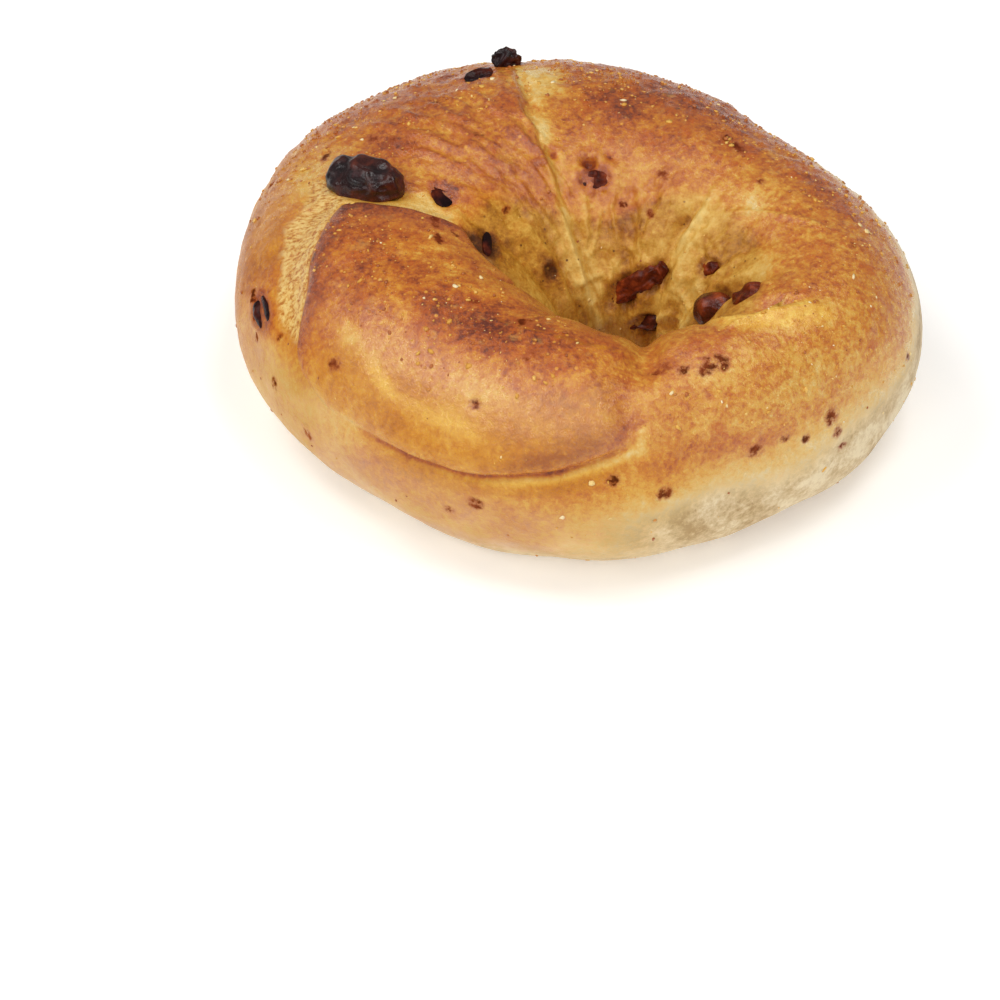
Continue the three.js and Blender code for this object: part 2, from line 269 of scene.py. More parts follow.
lap_shown = fade + at_corner * (rounded(to_corner / 3.5) - fade)
on_lap = np.minimum(inside_lap, to_corner + 100 * (1 - at_corner))
# The crease under the lap, the trough of stretched skin beside its blunt end, and the undercut corner
TROUGH_DEPTH = 0.8
CORNER_UNDERCUT = 2.0
crease_shown = 0.35 * smooth(218, 208, ring) + 0.75 * smooth(226, 240, ring)
crease = LAP_GROOVE * bell(inside_lap + 0.4, 0.8) * smooth(-4, 4, to_far) * crease_shown
beside_blunt = smooth(216, 204, ring) * smooth(22, 40, section) * smooth(-0.6, -2, inside_lap)
trough = TROUGH_DEPTH * bell(inside_lap + 4.2, 3.4) * beside_blunt
under_corner = at_corner * smooth(166, 174, ring) * smooth(98, 112, section)
relief = (LAP_RISE * lap - crease - trough) * lap_shown
relief -= CORNER_UNDERCUT * under_corner * bell(to_corner + 2.0, 1.5)

# The older seam on the far side, a step with a groove beside it that leans as it goes down to the hole
SEAM_ANGLE, SEAM_LEAN = 111, 0.19
SEAM_RISE = 1.2
SEAM_GROOVE = 0.4
past_seam = turn_to(ring, SEAM_ANGLE + SEAM_LEAN * (section - 90)) * along_mm + 0.9 * lumps(plain, 4, 3)
seam_shown = smooth(58, 83, section) * smooth(182, 165, section)
seam_step = SEAM_RISE * smooth(-0.3, 1.2, past_seam) * smooth(24, 0, past_seam)
relief += (seam_step - SEAM_GROOVE * bell(past_seam + 0.8, 1.1)) * seam_shown

# Creases down the funnel: ring angle at the top and at the waist, and depth in millimetres
CREASES = (
    (37, 57, 1.4), (358, 24, 1.1), (342, 5, 1.1), (80, 88, 0.7), (137, 136, 0.8),
    (160, 158, 0.7), (212, 205, 0.8), (245, 240, 0.9), (308, 316, 0.9),
)
CREASE_WIDTH = 1.3
down = np.clip((section - 100) / 75, 0, 1)
in_funnel = smooth(102, 126, section) * smooth(186, 172, section)
creased = np.zeros(ring.shape)
for top, waist, depth in CREASES:
    line = top + turn_to(waist, top) * down + 3 * lumps(plain, 6, 27)
    crack = depth * bell(turn_to(ring, line) * along_mm, CREASE_WIDTH) * in_funnel
    creased = np.maximum(creased, crack)
    relief -= crack

# The near rim leans over the hole and has a dip in it. On the right is a raised lip with a hollow behind it.
RIM_LEAN = 1.6
DIP_ANGLE, DIP_DEPTH = 284, 2.6
LIP_MIDDLE, LIP_RISE = 321, 0.7
HOLLOW_MIDDLE, HOLLOW_DEPTH = 320, 1.8
LIP_SECTION = 97
LIP_SLOPE = 1.55
relief += RIM_LEAN * bell(turn_to(section, 124), 22) * smooth(187, 211, ring) * smooth(336, 312, ring)
dip = DIP_DEPTH * bell(turn_to(ring, DIP_ANGLE), 6) * smooth(58, 92, section) * smooth(150, 120, section)
from_lip = np.abs(turn_to(ring, LIP_MIDDLE))
from_hollow = turn_to(ring, HOLLOW_MIDDLE)
lip_slant = np.hypot(1, LIP_SLOPE * across_mm / along_mm)
behind_lip = (section - LIP_SECTION + LIP_SLOPE * from_hollow) * across_mm / lip_slant
relief += LIP_RISE * bell(behind_lip + 1.3, 1.2) * smooth(14, 8, from_lip)
hollow = smooth(0, 1.2, behind_lip) * smooth(9, 3, behind_lip) * smooth(13, 6.5, np.abs(from_hollow))
relief -= HOLLOW_DEPTH * hollow

# Swelling under the lap, and the gentle unevenness of hand-rolled dough: how many waves go round the ring and
# across it, their height in millimetres and where they start
SWELLING = 0.9
UNEVEN_WAVES = ((5, 2, 0.2, 0.6), (9, 3, 0.15, 2.1), (13, 4, 0.12, 4.0))
relief += SWELLING * smooth(200, 224, ring) * smooth(304, 280, ring) * bell(turn_to(section, 6), 20)
for ring_count, section_count, high, phase in UNEVEN_WAVES:
    wave = ring_count * np.radians(ring) + phase + section_count * np.sin(np.radians(section))
    relief += high * np.sin(wave)
relief += 0.25 * lumps(plain, 7, 4) + 0.1 * lumps(plain, 2.5, 5)


def zone(ring_from, ring_to, section_from, section_to, ring_soft=8, section_soft=10):
    """1 between the angles, falling softly to 0 outside them."""
    half = (ring_to - ring_from) % 360 / 2
    from_middle = np.abs(turn_to(ring, ring_from + half))
    round_ring = smooth(half + ring_soft, half - ring_soft, from_middle)
    up = smooth(section_from - section_soft, section_from + section_soft, section)
    return round_ring * up * smooth(section_to + section_soft, section_to - section_soft, section)


# Cords of skin pulled towards the hole: their places as ring and section angles going down, and their height
# and width in millimetres
CORDS = (
    (((111, 100), (117, 118), (123, 139), (124, 152), (120, 172)), 0.9, 0.9),
    (((104, 122), (108, 132), (113, 146), (112, 166)), 0.4, 0.8),
    (((40, 108), (40, 120), (43, 136), (50, 148), (55, 165)), 0.8, 0.9),
    (((30, 122), (34, 134), (42, 150), (48, 168)), 0.4, 0.8),
    (((4, 122), (8, 131), (14, 141), (18, 160)), 0.9, 1.1),
    (((353, 124), (0, 136), (6, 150), (10, 165)), 0.6, 0.9),
    (((358.5, 86.2), (363.7, 94.2), (370.3, 102.5), (378, 108.9), (385.5, 115.2)), 0.5, 0.7),
    (((139, 108), (136, 124), (133, 140), (132, 160)), 0.5, 1.0),
    (((152, 112), (148, 128), (146, 150)), 0.4, 1.0),
)
fine_relief = np.zeros(ring.shape)
corded = np.zeros(ring.shape)
for path, high, wide in CORDS:
    cord_rings, cord_sections = np.array(path, float).T
    line = np.interp(section, cord_sections, np.unwrap(cord_rings, period=360))
    line = line + 2.0 * lumps(plain, 5, 17)
    shown = smooth(cord_sections[0] - 6, cord_sections[0] + 5, section)
    shown = shown * smooth(cord_sections[-1] + 6, cord_sections[-1] - 4, section)
    cord = high * bell(turn_to(ring, line) * along_mm, wide) * shown
    corded = np.maximum(corded, cord)
    fine_relief += cord

# Wrinkles where the far left flap was stretched, puckers down the far wall of the funnel, fibres beside the
# lap's blunt end, and a pebbled skin where the oven was hottest
wrinkled = zone(112, 160, 72, 128, 6, 12)
drawn_out = np.stack([0.55 * ring + 0.12 * section, 0.45 * section, 0 * ring], axis=-1)
drawn_out = drawn_out + 1.5 * np.stack([lumps(plain, 5, 29), lumps(plain, 5, 30), 0 * ring], axis=-1)
for wide, long, high in ((2.6, 6, 0.5), (1.5, 3.5, 0.3)):
    fine_relief += wrinkled * high * bell(lumps(drawn_out / (wide, long, 1), 1, 9), 0.25)
pulled = zone(10, 160, 116, 178, 14, 10)
tangled = plain + 1.6 * shifts(plain, 4, (33, 34, 35))
tangled = tangled + 0.6 * shifts(plain, 1.7, (36, 37, 38))
for apart, high in ((3.8, 0.45), (1.9, 0.3)):
    fine_relief += pulled * high * (bell(lumps(tangled, apart, 12), 0.3) - 0.4)
fine_relief += 0.10 * beside_blunt * lumps(drawn_out / (0.9, 3.5, 1), 1, 13)
pebbled = np.maximum(zone(15, 165, 15, 98), 0.5 * zone(180, 345, 30, 108))
fine_relief += pebbled * (0.18 * lumps(plain, 1.3, 18) + 0.12 * lumps(plain, 2.6, 19))

# Pits with a raised rim: a place, and depth and width in millimetres
PITS = (
    (99, 116, 2.0, 0.9),
    (112, 112, 0.9, 0.8),
    (149, 145, 0.2, 1.5),
    (90, 113, 0.6, 0.7),
    (250, 48, 0.5, 0.8),
)
PIT_RIM = 0.12
pitted = np.zeros(ring.shape)
for pit_ring, pit_section, depth, wide in PITS:
    from_pit = np.hypot(turn_to(ring, pit_ring) * along_mm, turn_to(section, pit_section) * across_mm)
    from_pit = from_pit * (1 + 0.4 * lumps(plain, 2, 31))
    pitted = np.maximum(pitted, bell(from_pit, 0.65 * wide))
    fine_relief += PIT_RIM * depth * bell(from_pit - 2 * wide, 0.8 * wide) - depth * bell(from_pit, wide)
relief += fine_relief

crust = plain + out * relief[..., None]
crust[..., 2] -= dip
# The ring is moved level until its middle is that of the solid it dresses
bagel_low, bagel_high = (np.array(corner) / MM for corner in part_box("bagel"))
moved = np.zeros(3)
moved[:2] = (bagel_low + bagel_high)[:2] / 2 - (crust.min((0, 1)) + crust.max((0, 1)))[:2] / 2
crust += moved


def raisin_axes(node):
    """A raisin's centre, its axes (along, across, out of the crust), half sizes, and the crust's level."""
    points = np.array([v.co for v in node.data.vertices]) / MM
    centre = (points.min(0) + points.max(0)) / 2
    nearest = np.argmin(np.linalg.norm(crust - centre, axis=-1))
    up = out.reshape(-1, 3)[nearest]
    level = (crust.reshape(-1, 3)[nearest] - centre) @ up
    flat = (points - centre) - np.outer((points - centre) @ up, up)
    length = np.linalg.svd(flat, full_matrices=False)[2][0]
    axes = np.array([length, np.cross(up, length), up])
    half = np.ptp((points - centre) @ axes.T, axis=0) / 2
    return centre, axes, half, level


# Each raisin's pocket, a shallow dent with a raised rim, and the juice that stains it
POCKET_DEPTH = 0.25
POCKET_RIM = 0.2
NEAR_RAISIN = 6
raisins = {
    name: raisin_axes(node)
    for name, node in sorted(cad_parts.items())
    if name.startswith("raisin")
}
pocket = np.zeros(ring.shape)
stained = np.zeros(ring.shape)
for centre, axes, half, level in raisins.values():
    offset = (crust - centre) @ axes.T
    reach = np.hypot(offset[..., 0] / half[0], offset[..., 1] / half[1])
    reach = reach + 0.15 * lumps(plain, 1.5, 14)
    here = np.abs(offset[..., 2]) < NEAR_RAISIN
    pocket += here * (POCKET_RIM * bell(reach - 1.3, 0.3) - POCKET_DEPTH * smooth(1.2, 0.8, reach))
    stained = np.maximum(stained, here * smooth(1.7, 0.9, reach))
crust += out * pocket[..., None]
crust[..., 2] = np.maximum(crust[..., 2], 0)


def mesh_piece(name, points, faces, slot, *nodes):
    """Adds a smooth mesh, given in millimetres, that rides on the one body and stands for its nodes."""
    mesh = bpy.data.meshes.new(name)
    mesh.from_pydata(points * MM, [], faces)
    mesh.shade_smooth()
    piece = bpy.data.objects.new(name, mesh)
    bpy.context.scene.collection.objects.link(piece)
    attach(piece, "root")
    if nodes:
        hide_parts(*nodes)
    return piece


index = np.arange(RING_STEPS * SECTION_STEPS).reshape(RING_STEPS, SECTION_STEPS)
next_ring = np.roll(index, -1, 0)
corners = [index, next_ring, np.roll(next_ring, -1, 1), np.roll(index, -1, 1)]
quads = np.stack([corner.ravel() for corner in corners], axis=-1)
bagel = mesh_piece("dough_ring", crust.reshape(-1, 3), quads.tolist(), "crust", "bagel")
# The grid unrolled on a square, once round and once across
steps = np.stack(np.divmod(index.ravel(), SECTION_STEPS), axis=-1)[:, None, :]
unrolled = (steps + np.array([(0, 0), (1, 0), (1, 1), (0, 1)])) / (RING_STEPS, SECTION_STEPS)
bagel.data.uv_layers.new(name="OFBake").data.foreach_set("uv", unrolled.astype(np.float32).ravel())

# Where the oven browned the skin, from 0 for cream to 1 for dark; two patches, marked below, are painted
# light instead.
# Each patch is a place, its reach in degrees, the tone there and how fully it takes over.
PATCHES = (
    (245, 0, 45, 16, 0.62, 0.9),
    (235, -25, 60, 12, 0.56, 0.9),
    (202, 6, 20, 20, 0.42, 0.9),
    (280, 16, 18, 9, 0.66, 0.8),
    (240, 34, 26, 10, 0.48, 0.9),
    (250, 56, 22, 12, 0.48, 0.8),
    # Painted highlight: a lighter patch where the lap's front catches the sheen
    (258, 50, 12, 8, 0.36, 0.7),
    (228, 84, 16, 13, 1.00, 0.9),
    (250, 90, 16, 11, 0.92, 0.8),
    (192, 78, 16, 18, 0.80, 0.9),
    (200, 108, 20, 12, 0.66, 0.8),
    (214, 40, 6, 14, 0.62, 0.7),
    (272, 68, 14, 20, 0.54, 0.8),
    (300, 62, 16, 12, 0.33, 0.8),
    (291, 38, 9, 9, 0.48, 0.7),
    (318, 46, 20, 18, 0.42, 0.9),
    (345, 62, 22, 20, 0.52, 0.8),
    (15, 50, 20, 24, 0.66, 0.8),
    (25, 92, 14, 14, 0.40, 0.8),
    (60, 66, 26, 22, 0.90, 0.9),
    (85, 92, 12, 14, 0.84, 0.8),
    (132, 66, 22, 24, 0.72, 0.8),
    (132, 102, 18, 14, 0.47, 0.7),
    (138, 118, 10, 8, 0.48, 0.8),
    (152, 130, 14, 12, 0.46, 0.9),
    (120, 138, 14, 12, 0.52, 0.8),
    (85, 138, 20, 10, 0.58, 0.8),
    (163, 58, 9, 12, 0.24, 0.9),
    (174, 24, 20, 10, 0.76, 0.8),
    (178, 2, 20, 12, 0.68, 0.8),
    (40, 124, 14, 14, 0.24, 0.9),
    (350, 120, 16, 12, 0.20, 0.8),
    (80, 118, 14, 10, 0.42, 0.7),
    (149, 145, 6, 6, 1.00, 0.95),
    (75, 160, 24, 14, 0.46, 0.8),
    (20, 165, 30, 14, 0.40, 0.8),
    (130, 165, 30, 14, 0.44, 0.8),
    # Painted shade: dark in the shadowed gap between the lap's inner corner and the raisin beside it
    (171, 120, 5, 8, 0.95, 0.9),
    (100, 140, 10, 12, 0.46, 0.7),
    (12, 75, 12, 9, 0.78, 0.8),
    (40, 83, 10, 8, 0.92, 0.7),
    (353, 64, 8, 8, 0.66, 0.6),
    (22, 106, 7, 6, 0.28, 0.8),
    (150, 78, 3.5, 10, 0.82, 0.8),
    (203, 93, 8, 7, 0.56, 0.6),
)
PALEST = 0.10
underside = smooth(205, 250, section)
upper_side = 0.50 * smooth(-28, 50, section) - 0.20 * smooth(116, 150, section)
brown = PALEST + upper_side * (1 - underside)
for patch_ring, patch_section, ring_reach, section_reach, browning, share in PATCHES:
    near_ring = bell(turn_to(ring, patch_ring), ring_reach)
    near = near_ring * bell(turn_to(section, patch_section), section_reach)
    brown = brown + share * near * (browning - brown)

# Pale skin beside the seam, on the lip, and between the lap and the large raisin
pale_reach = 1.2 + 5 * smooth(94, 82, section) + 1.5 * lumps(plain, 3, 24)
seam_pale = smooth(0.4, -0.4, past_seam) * smooth(-pale_reach - 3.5, -pale_reach + 0.5, past_seam)
seam_pale = seam_pale * smooth(60, 68, section) * smooth(128, 112, section)
seam_pale = seam_pale * (0.4 + 0.6 * smooth(-0.3, 0.2, lumps(tangled, 1.8, 32)))
lip_pale = smooth(1.0, 0.2, behind_lip) * smooth(-7.0, -3.0, behind_lip) * smooth(16, 8, from_lip)
strip_pale = smooth(0.1, -0.5, on_lap) * smooth(-8, -4, on_lap) * zone(150, 182, 68, 112, 6, 8)
for pale, browning in ((seam_pale, 0.09), (lip_pale, 0.08), (strip_pale, 0.13)):
    brown = brown + 0.9 * pale * (browning - brown)

# The crease under the lap with painted shade along it; at its far end, painted shade on the lap just above it
# and a painted highlight on the crease's lower lip; and the browned edge of the blunt end
brown = brown + 0.30 * bell(inside_lap + 0.4, 0.45) * smooth(226, 238, ring) * smooth(284, 262, ring)
crease_end = smooth(252, 264, ring) * smooth(287, 280, ring)
# Painted shade just inside the lap's far end, and a painted highlight just below its crease
brown = brown + crease_end * (0.18 * bell(inside_lap - 2.0, 1.6) - 0.35 * bell(inside_lap + 1.5, 0.7))
brown = brown + 0.22 * smooth(0, 0.8, on_lap) * smooth(6, 1, on_lap) * smooth(216, 206, ring) * lap_shown

# A paler streak along the lap, its line given as ring and section angles
STREAK = ((210, 56), (217, 51), (224, 45.5), (229, 41), (237.5, 37), (259, 35.5))
streak_rings, streak_sections = np.array(STREAK).T
streak_line = np.interp(ring, streak_rings, streak_sections)
from_streak = (section - streak_line) * across_mm + 0.6 * lumps(plain, 5, 39)
streak = bell(from_streak, 1.5) * zone(214, 252, 20, 90, 5)
brown = brown - 0.34 * streak * (0.75 + 0.5 * lumps(plain, 4, 40))

# Painted shade in the undercut gap under the lap's inner corner, in the pits and along the funnel's creases;
# darker round raisins and paler on cords, with uneven browning, most on top of the lap
brown = brown + 0.7 * under_corner * bell(to_corner + 1.2, 1.6) + 0.5 * pitted
brown = brown + 0.25 * stained + 0.08 * lumps(plain, 9, 6) + 0.04 * lumps(plain, 3.5, 7)
# Browner on wrinkle ridges, paler on pulled skin and cords, and painted shade along the funnel's creases
brown = brown + fine_relief * (0.25 * wrinkled - 0.15 * pulled) + 0.16 * creased - 0.22 * corded
lap_top = zone(186, 288, 62, 112, 8, 12)
brown = brown + lap_top * (0.13 * lumps(tangled, 3.2, 41) + 0.08 * lumps(tangled, 1.6, 42))
brown = brown + 0.07 * pulled * smooth(0.1, 0.5, lumps(tangled, 2.2, 44))

# The funnel, where the skin stays moist. On the near side it starts behind the rim.
near_rim = smooth(182, 206, ring) * smooth(318, 304, ring)
funnel_from = 104 + 22 * bell(turn_to(ring, 100), 45) + 24 * near_rim + 6 * lumps(plain, 8, 15)
funnel = smooth(funnel_from, funnel_from + 22, section) * smooth(218, 198, section) * (1 - lip_pale)
funnel = funnel * smooth(1.2, 0.2, on_lap * smooth(214, 196, ring))

# The pale, floury belt on the lower right side, which goes on under the ring
round_right = np.where(ring < 90, ring + 360, ring)
belt_edge = 10 + 36 * smooth(334, 368, round_right)
belt_side = smooth(264, 296, round_right) * smooth(430, 380, round_right)
below_edge = section - belt_edge + 5 * lumps(plain, 9, 8)
brown = brown - belt_side * smooth(14, -10, below_edge) * (brown - PALEST)
brown = brown + 0.14 * zone(280, 318, -10, 40) * bell(below_edge - 15, 6)
belt = np.maximum.reduce(
    [
        belt_side * smooth(0, -14, below_edge),
        0.8 * np.maximum(smooth(0, -38, section), underside),
        0.28 * zone(180, 285, -30, 4, 10, 14),
        0.30 * zone(190, 222, -30, 20, 8, 10),
    ]
)

# Torn, fibrous skin beside the lap's blunt end
stretched = smooth(-0.1, -0.7, on_lap) * smooth(-9.0, -5.0, inside_lap + 1.6 * lumps(plain, 3, 16))
stretched = stretched * smooth(216, 206, ring) * smooth(22, 40, section) * smooth(84, 66, section)
stretched = stretched * smooth(158, 168, ring)

# Amber skin on the lap's lower side and the pale places, then how glossy, crinkled and freckled the skin is
lap_amber = smooth(0, 1.5, to_edge) * smooth(15, 7, to_edge) * smooth(210, 222, ring) * smooth(284, 268, ring)
amber = np.maximum.reduce(
    [
        lap_amber,
        lip_pale,
        0.5 * (seam_pale + strip_pale),
        0.9 * zone(150, 188, -15, 50),
        0.9 * bell(to_edge + 2.6, 2.0) * zone(232, 280, -20, 40),
    ]
)
glossy = 0.45 + 0.32 * zone(214, 280, 36, 66, 10, 12) - 0.5 * zone(150, 222, -60, 40, 10, 12)
glossy = glossy - 0.2 * lap_top - 0.15 * zone(236, 292, -20, 34) - 0.4 * pitted
glossy = glossy - 0.15 * funnel - 0.4 * zone(144, 176, 112, 152, 5, 6)
crinkled = np.maximum(wrinkled, 0.7 * pulled)
freckles = np.maximum.reduce(
    [zone(290, 50, 24, 112, 14), 0.8 * zone(30, 165, 20, 112, 14), 0.7 * zone(184, 290, 60, 112, 8, 14)]
)
freckles = 0.25 + 0.75 * freckles

# Scraps of raisin skin baked flush with the crust, which they stain: a place, and how long each is along
# the ring and across it in millimetres
SCRAPS = (
    (197, 15, 0.6, 1.0), (203, 27, 0.5, 0.6), (206, 6, 0.6, 1.3), (216, -3, 0.8, 1.6), (219, 37, 1.3, 1.2),
    (227, 94, 1.0, 0.7), (245, 96, 1.1, 1.4), (250, 48, 1.0, 0.5), (254, 2, 1.5, 1.2), (249, -3, 0.7, 0.7),
    (255, 76, 1.0, 0.8), (288, 78, 3.0, 1.1), (293, 72, 1.3, 1.0), (298, 68, 2.2, 1.0), (302, 68, 1.8, 1.2),
    (302, 73, 0.6, 0.4), (299, 73, 0.5, 0.5), (26.5, 96, 1.2, 0.3), (354, 73, 0.6, 0.5), (321, 18, 1.6, 2.0),
    (322, 9, 0.9, 1.2), (315, 14, 0.7, 0.7), (311, 19, 0.7, 0.6), (305, 18, 1.6, 1.3), (278, 21, 1.1, 1.0),
    (287, 12, 1.4, 1.1), (323, 0, 0.9, 0.4), (342, 15, 0.6, 0.8), (149, 80, 1.6, 0.9), (180, 105, 2.4, 0.7),
    (190, 105, 2.2, 0.7), (183, 111, 0.9, 0.7), (130, 77, 1.8, 0.7), (132, 99, 1.2, 0.8), (156, 58, 1.8, 0.7),
    (149, 73, 0.8, 1.4), (120, 58, 3.0, 1.2), (148, 123, 0.8, 0.3), (66, 70, 2.2, 1.1), (47, 85, 1.6, 1.6),
    (42, 86, 2.2, 1.2), (65, 115, 1.2, 0.9), (68, 130, 0.7, 0.5), (86, 129, 0.5, 0.7), (60, 30, 2.0, 1.2),
    (98, 20, 1.4, 1.8), (160, 30, 1.2, 1.0), (190, 25, 2.4, 1.4), (194, 22, 0.8, 1.2),
)
SCRAP_SHARE, SCRAP_STAIN = 0.7, 0.5
SCRAP_DARKEST, SCRAP_FALL = 1.6, 1.2
speck = np.zeros(ring.shape)
for scrap_ring, scrap_section, long, wide in SCRAPS:
    along = turn_to(ring, scrap_ring) * along_mm / (SCRAP_SHARE * long + SCRAP_STAIN)
    across = turn_to(section, scrap_section) * across_mm / (SCRAP_SHARE * wide + SCRAP_STAIN)
    speck = np.maximum(speck, SCRAP_DARKEST - SCRAP_FALL * np.hypot(along, across))


def set_layer(piece, name, values):
    """Gives each point of a piece a value between 0 and 1 that its material reads by name."""
    layer = piece.data.attributes.new(name, "FLOAT", "POINT")
    layer.data.foreach_set("value", np.clip(values, 0, 1).astype(np.float32).ravel())


crust_layers = {
    "brown": brown,
    "funnel": funnel,
    "belt": belt,
    "amber": amber,
    "stretched": stretched,
    "speck": speck,
    "crinkled": crinkled,
    "freckles": freckles,
    "glossy": glossy,
}
for name, values in crust_layers.items():
    set_layer(bagel, name, values)


def linear(hex_colour):
    """An sRGB hex colour as linear red, green, blue and alpha."""
    parts = [int(hex_colour[i : i + 2], 16) / 255 for i in (1, 3, 5)]
    return [p / 12.92 if p <= 0.04045 else ((p + 0.055) / 1.055) ** 2.4 for p in parts] + [1.0]


def new_material(name):
    """Adds an empty material and gives its node tree."""
    material = bpy.data.materials.new(name)
    material.use_nodes = True
    material.node_tree.nodes.clear()
    return material.node_tree


def add(kind, inputs, output=0, stops=(), **settings):
    """Adds a node to the material in hand. An input is a value, or the output it is linked from."""
    made = tree.nodes.new("ShaderNode" + kind)
    for key, value in settings.items():
        setattr(made, key, value)
    for socket, value in inputs.items():
        if isinstance(value, bpy.types.NodeSocket):
            tree.links.new(value, made.inputs[socket])
        else:
            made.inputs[socket].default_value = value
    for position, _ in stops[2:]:
        made.color_ramp.elements.new(position)
    for i, (position, shade) in enumerate(stops):
        made.color_ramp.elements[i].position = position
        made.color_ramp.elements[i].color = linear(shade)
    return None if output is None else made.outputs[output]


# Baked dough skin: starch that gelled in the boil and browned in the oven. It gives the eye a soft
# sheen over gold and brown, with fine freckles.
METRE = 1000
# Millimetres between the marks of each pattern
MOTTLES_APART = 6
GRAINS_APART = 1.1
SMEARS_APART = 8
FRAYS_APART = 1.2
CRINKLES_APART = 4
# The middle of a noise's range, where most of it lies
MIDDLE = {"From Min": 0.3, "From Max": 0.7}
tree = new_material("baked_dough_skin")
place = add("TexCoord", {}, "Object")
zones = {name: add("Attribute", {}, "Fac", attribute_name=name) for name in crust_layers}
mottle = add("TexNoise", {"Vector": place, "Scale": METRE / MOTTLES_APART, "Detail": 8.0, "Roughness": 0.72})
grain = add("TexNoise", {"Vector": place, "Scale": METRE / GRAINS_APART, "Detail": 4.0, "Roughness": 0.75})
patchy = add("MapRange", {"Value": mottle, **MIDDLE, "To Min": -0.14, "To Max": 0.14})
grainy = add("MapRange", {"Value": grain, **MIDDLE, "To Min": -0.22, "To Max": 0.22})
coarse = add("Math", {0: zones["freckles"], 1: 0.5, 2: 0.6}, operation="MULTIPLY_ADD")
grainy = add("Math", {0: grainy, 1: coarse}, operation="MULTIPLY")
uneven = add("Math", {0: patchy, 1: grainy})
browning = add("Math", {0: zones["brown"], 1: uneven})
colour = add(
    "ValToRGB",
    {"Fac": browning},
    stops=(
        (0.00, "#dec692"),
        (0.20, "#dbb362"),
        (0.38, "#d69f40"),
        (0.55, "#c87f28"),
        (0.72, "#b05d22"),
        (0.86, "#91441f"),
        (1.00, "#642c1c"),
    ),
)
olive = add(
    "ValToRGB",
    {"Fac": browning},
    stops=((0.10, "#e2bd66"), (0.33, "#d0a044"), (0.52, "#b57e28"), (0.75, "#84531a"), (1.00, "#4a2a10")),
)
moist = add("Math", {0: zones["funnel"], 1: patchy})
moist = add("MapRange", {"Value": moist, **MIDDLE, "To Max": 0.85})
colour = add("Mix", {0: moist, 6: colour, 7: olive}, 2, data_type="RGBA")
glazed = add(
    "ValToRGB",
    {"Fac": browning},
    stops=((0.0, "#ecc256"), (0.2, "#dea63c"), (0.5, "#c67f1c"), (0.8, "#a05714")),
)
glazing = add("MapRange", {"Value": zones["amber"], **MIDDLE, "To Max": 0.92})
colour = add("Mix", {0: glazing, 6: colour, 7: glazed}, 2, data_type="RGBA")

# Fibres of torn skin beside the lap's blunt end, and flour from the tray smeared on the lower right side.
# A full turn round the ring and one across it hold so many fibres, each about 0.7 mm by 1.1 mm.
FIBRES_ROUND, FIBRES_ACROSS = 480, 110
unrolled_place = add("UVMap", {}, uv_map="OFBake")
fibre_place = add("Mapping", {"Vector": unrolled_place, "Scale": (FIBRES_ROUND, FIBRES_ACROSS, 1)})
fibres = add("TexNoise", {"Vector": fibre_place, "Scale": 1.0, "Detail": 4.0, "Roughness": 0.6})
fibres = add("Math", {0: fibres, 1: grainy})
bristly = add("ValToRGB", {"Fac": fibres}, stops=((0.36, "#b06c2c"), (0.46, "#d29c48"), (0.58, "#e6c478")))
torn = add("Math", {0: zones["stretched"], 1: patchy})
torn = add("MapRange", {"Value": torn, **MIDDLE, "To Max": 0.95})
colour = add("Mix", {0: torn, 6: colour, 7: bristly}, 2, data_type="RGBA")
smears = add("TexNoise", {"Vector": place, "Scale": METRE / SMEARS_APART, "Detail": 5.0, "Roughness": 0.6})
smears = add("Math", {0: smears, 1: uneven})
floury = add("ValToRGB", {"Fac": smears}, stops=((0.28, "#a98852"), (0.48, "#cdb284"), (0.68, "#e6d3ac")))
colour = add("Mix", {0: zones["belt"], 6: colour, 7: floury}, 2, data_type="RGBA")

# Freckles: size in millimetres, the range of the pattern that they fill, how strong, and their colour
FRECKLES = (
    (1.3, 0.53, 0.66, 0.65, "#bc5a1a"),
    (3.4, 0.51, 0.66, 0.65, "#b5561a"),
    (2.6, 0.44, 0.30, 0.40, "#e2b05c"),
)
freckled = add("MapRange", {"Value": browning, "From Min": 0.25, "From Max": 0.5})
freckled = add("Math", {0: freckled, 1: zones["freckles"]}, operation="MULTIPLY")
for apart, low, high, strong, shade in FRECKLES:
    freckle = add("TexNoise", {"Vector": place, "Scale": METRE / apart, "Detail": 5.0, "Roughness": 0.7})
    freckle = add("MapRange", {"Value": freckle, "From Min": low, "From Max": high, "To Max": strong})
    freckle = add("Math", {0: freckle, 1: freckled}, operation="MULTIPLY")
    colour = add("Mix", {0: freckle, 6: colour, 7: linear(shade)}, 2, data_type="RGBA")

# Dots: distance apart and width in millimetres, the share of places that has one, where, and their colour
DOTS = (
    (1.7, 0.36, 0.30, freckled, "#dc9c38"),
    (1.9, 0.26, 0.35, zones["funnel"], "#6e4219"),
)
for apart, wide, shown, where, shade in DOTS:
    cells = add("TexVoronoi", {"Vector": place, "Scale": METRE / apart})
    dot = add("MapRange", {"Value": cells, "From Min": wide / apart, "From Max": 0.55 * wide / apart})
    chance = add("SeparateColor", {0: cells.node.outputs["Color"]})
    kept = add("Math", {0: chance, 1: shown}, operation="LESS_THAN")
    dot = add("Math", {0: dot, 1: kept}, operation="MULTIPLY")
    dot = add("Math", {0: dot, 1: where}, operation="MULTIPLY")
    colour = add("Mix", {0: dot, 6: colour, 7: linear(shade)}, 2, data_type="RGBA")

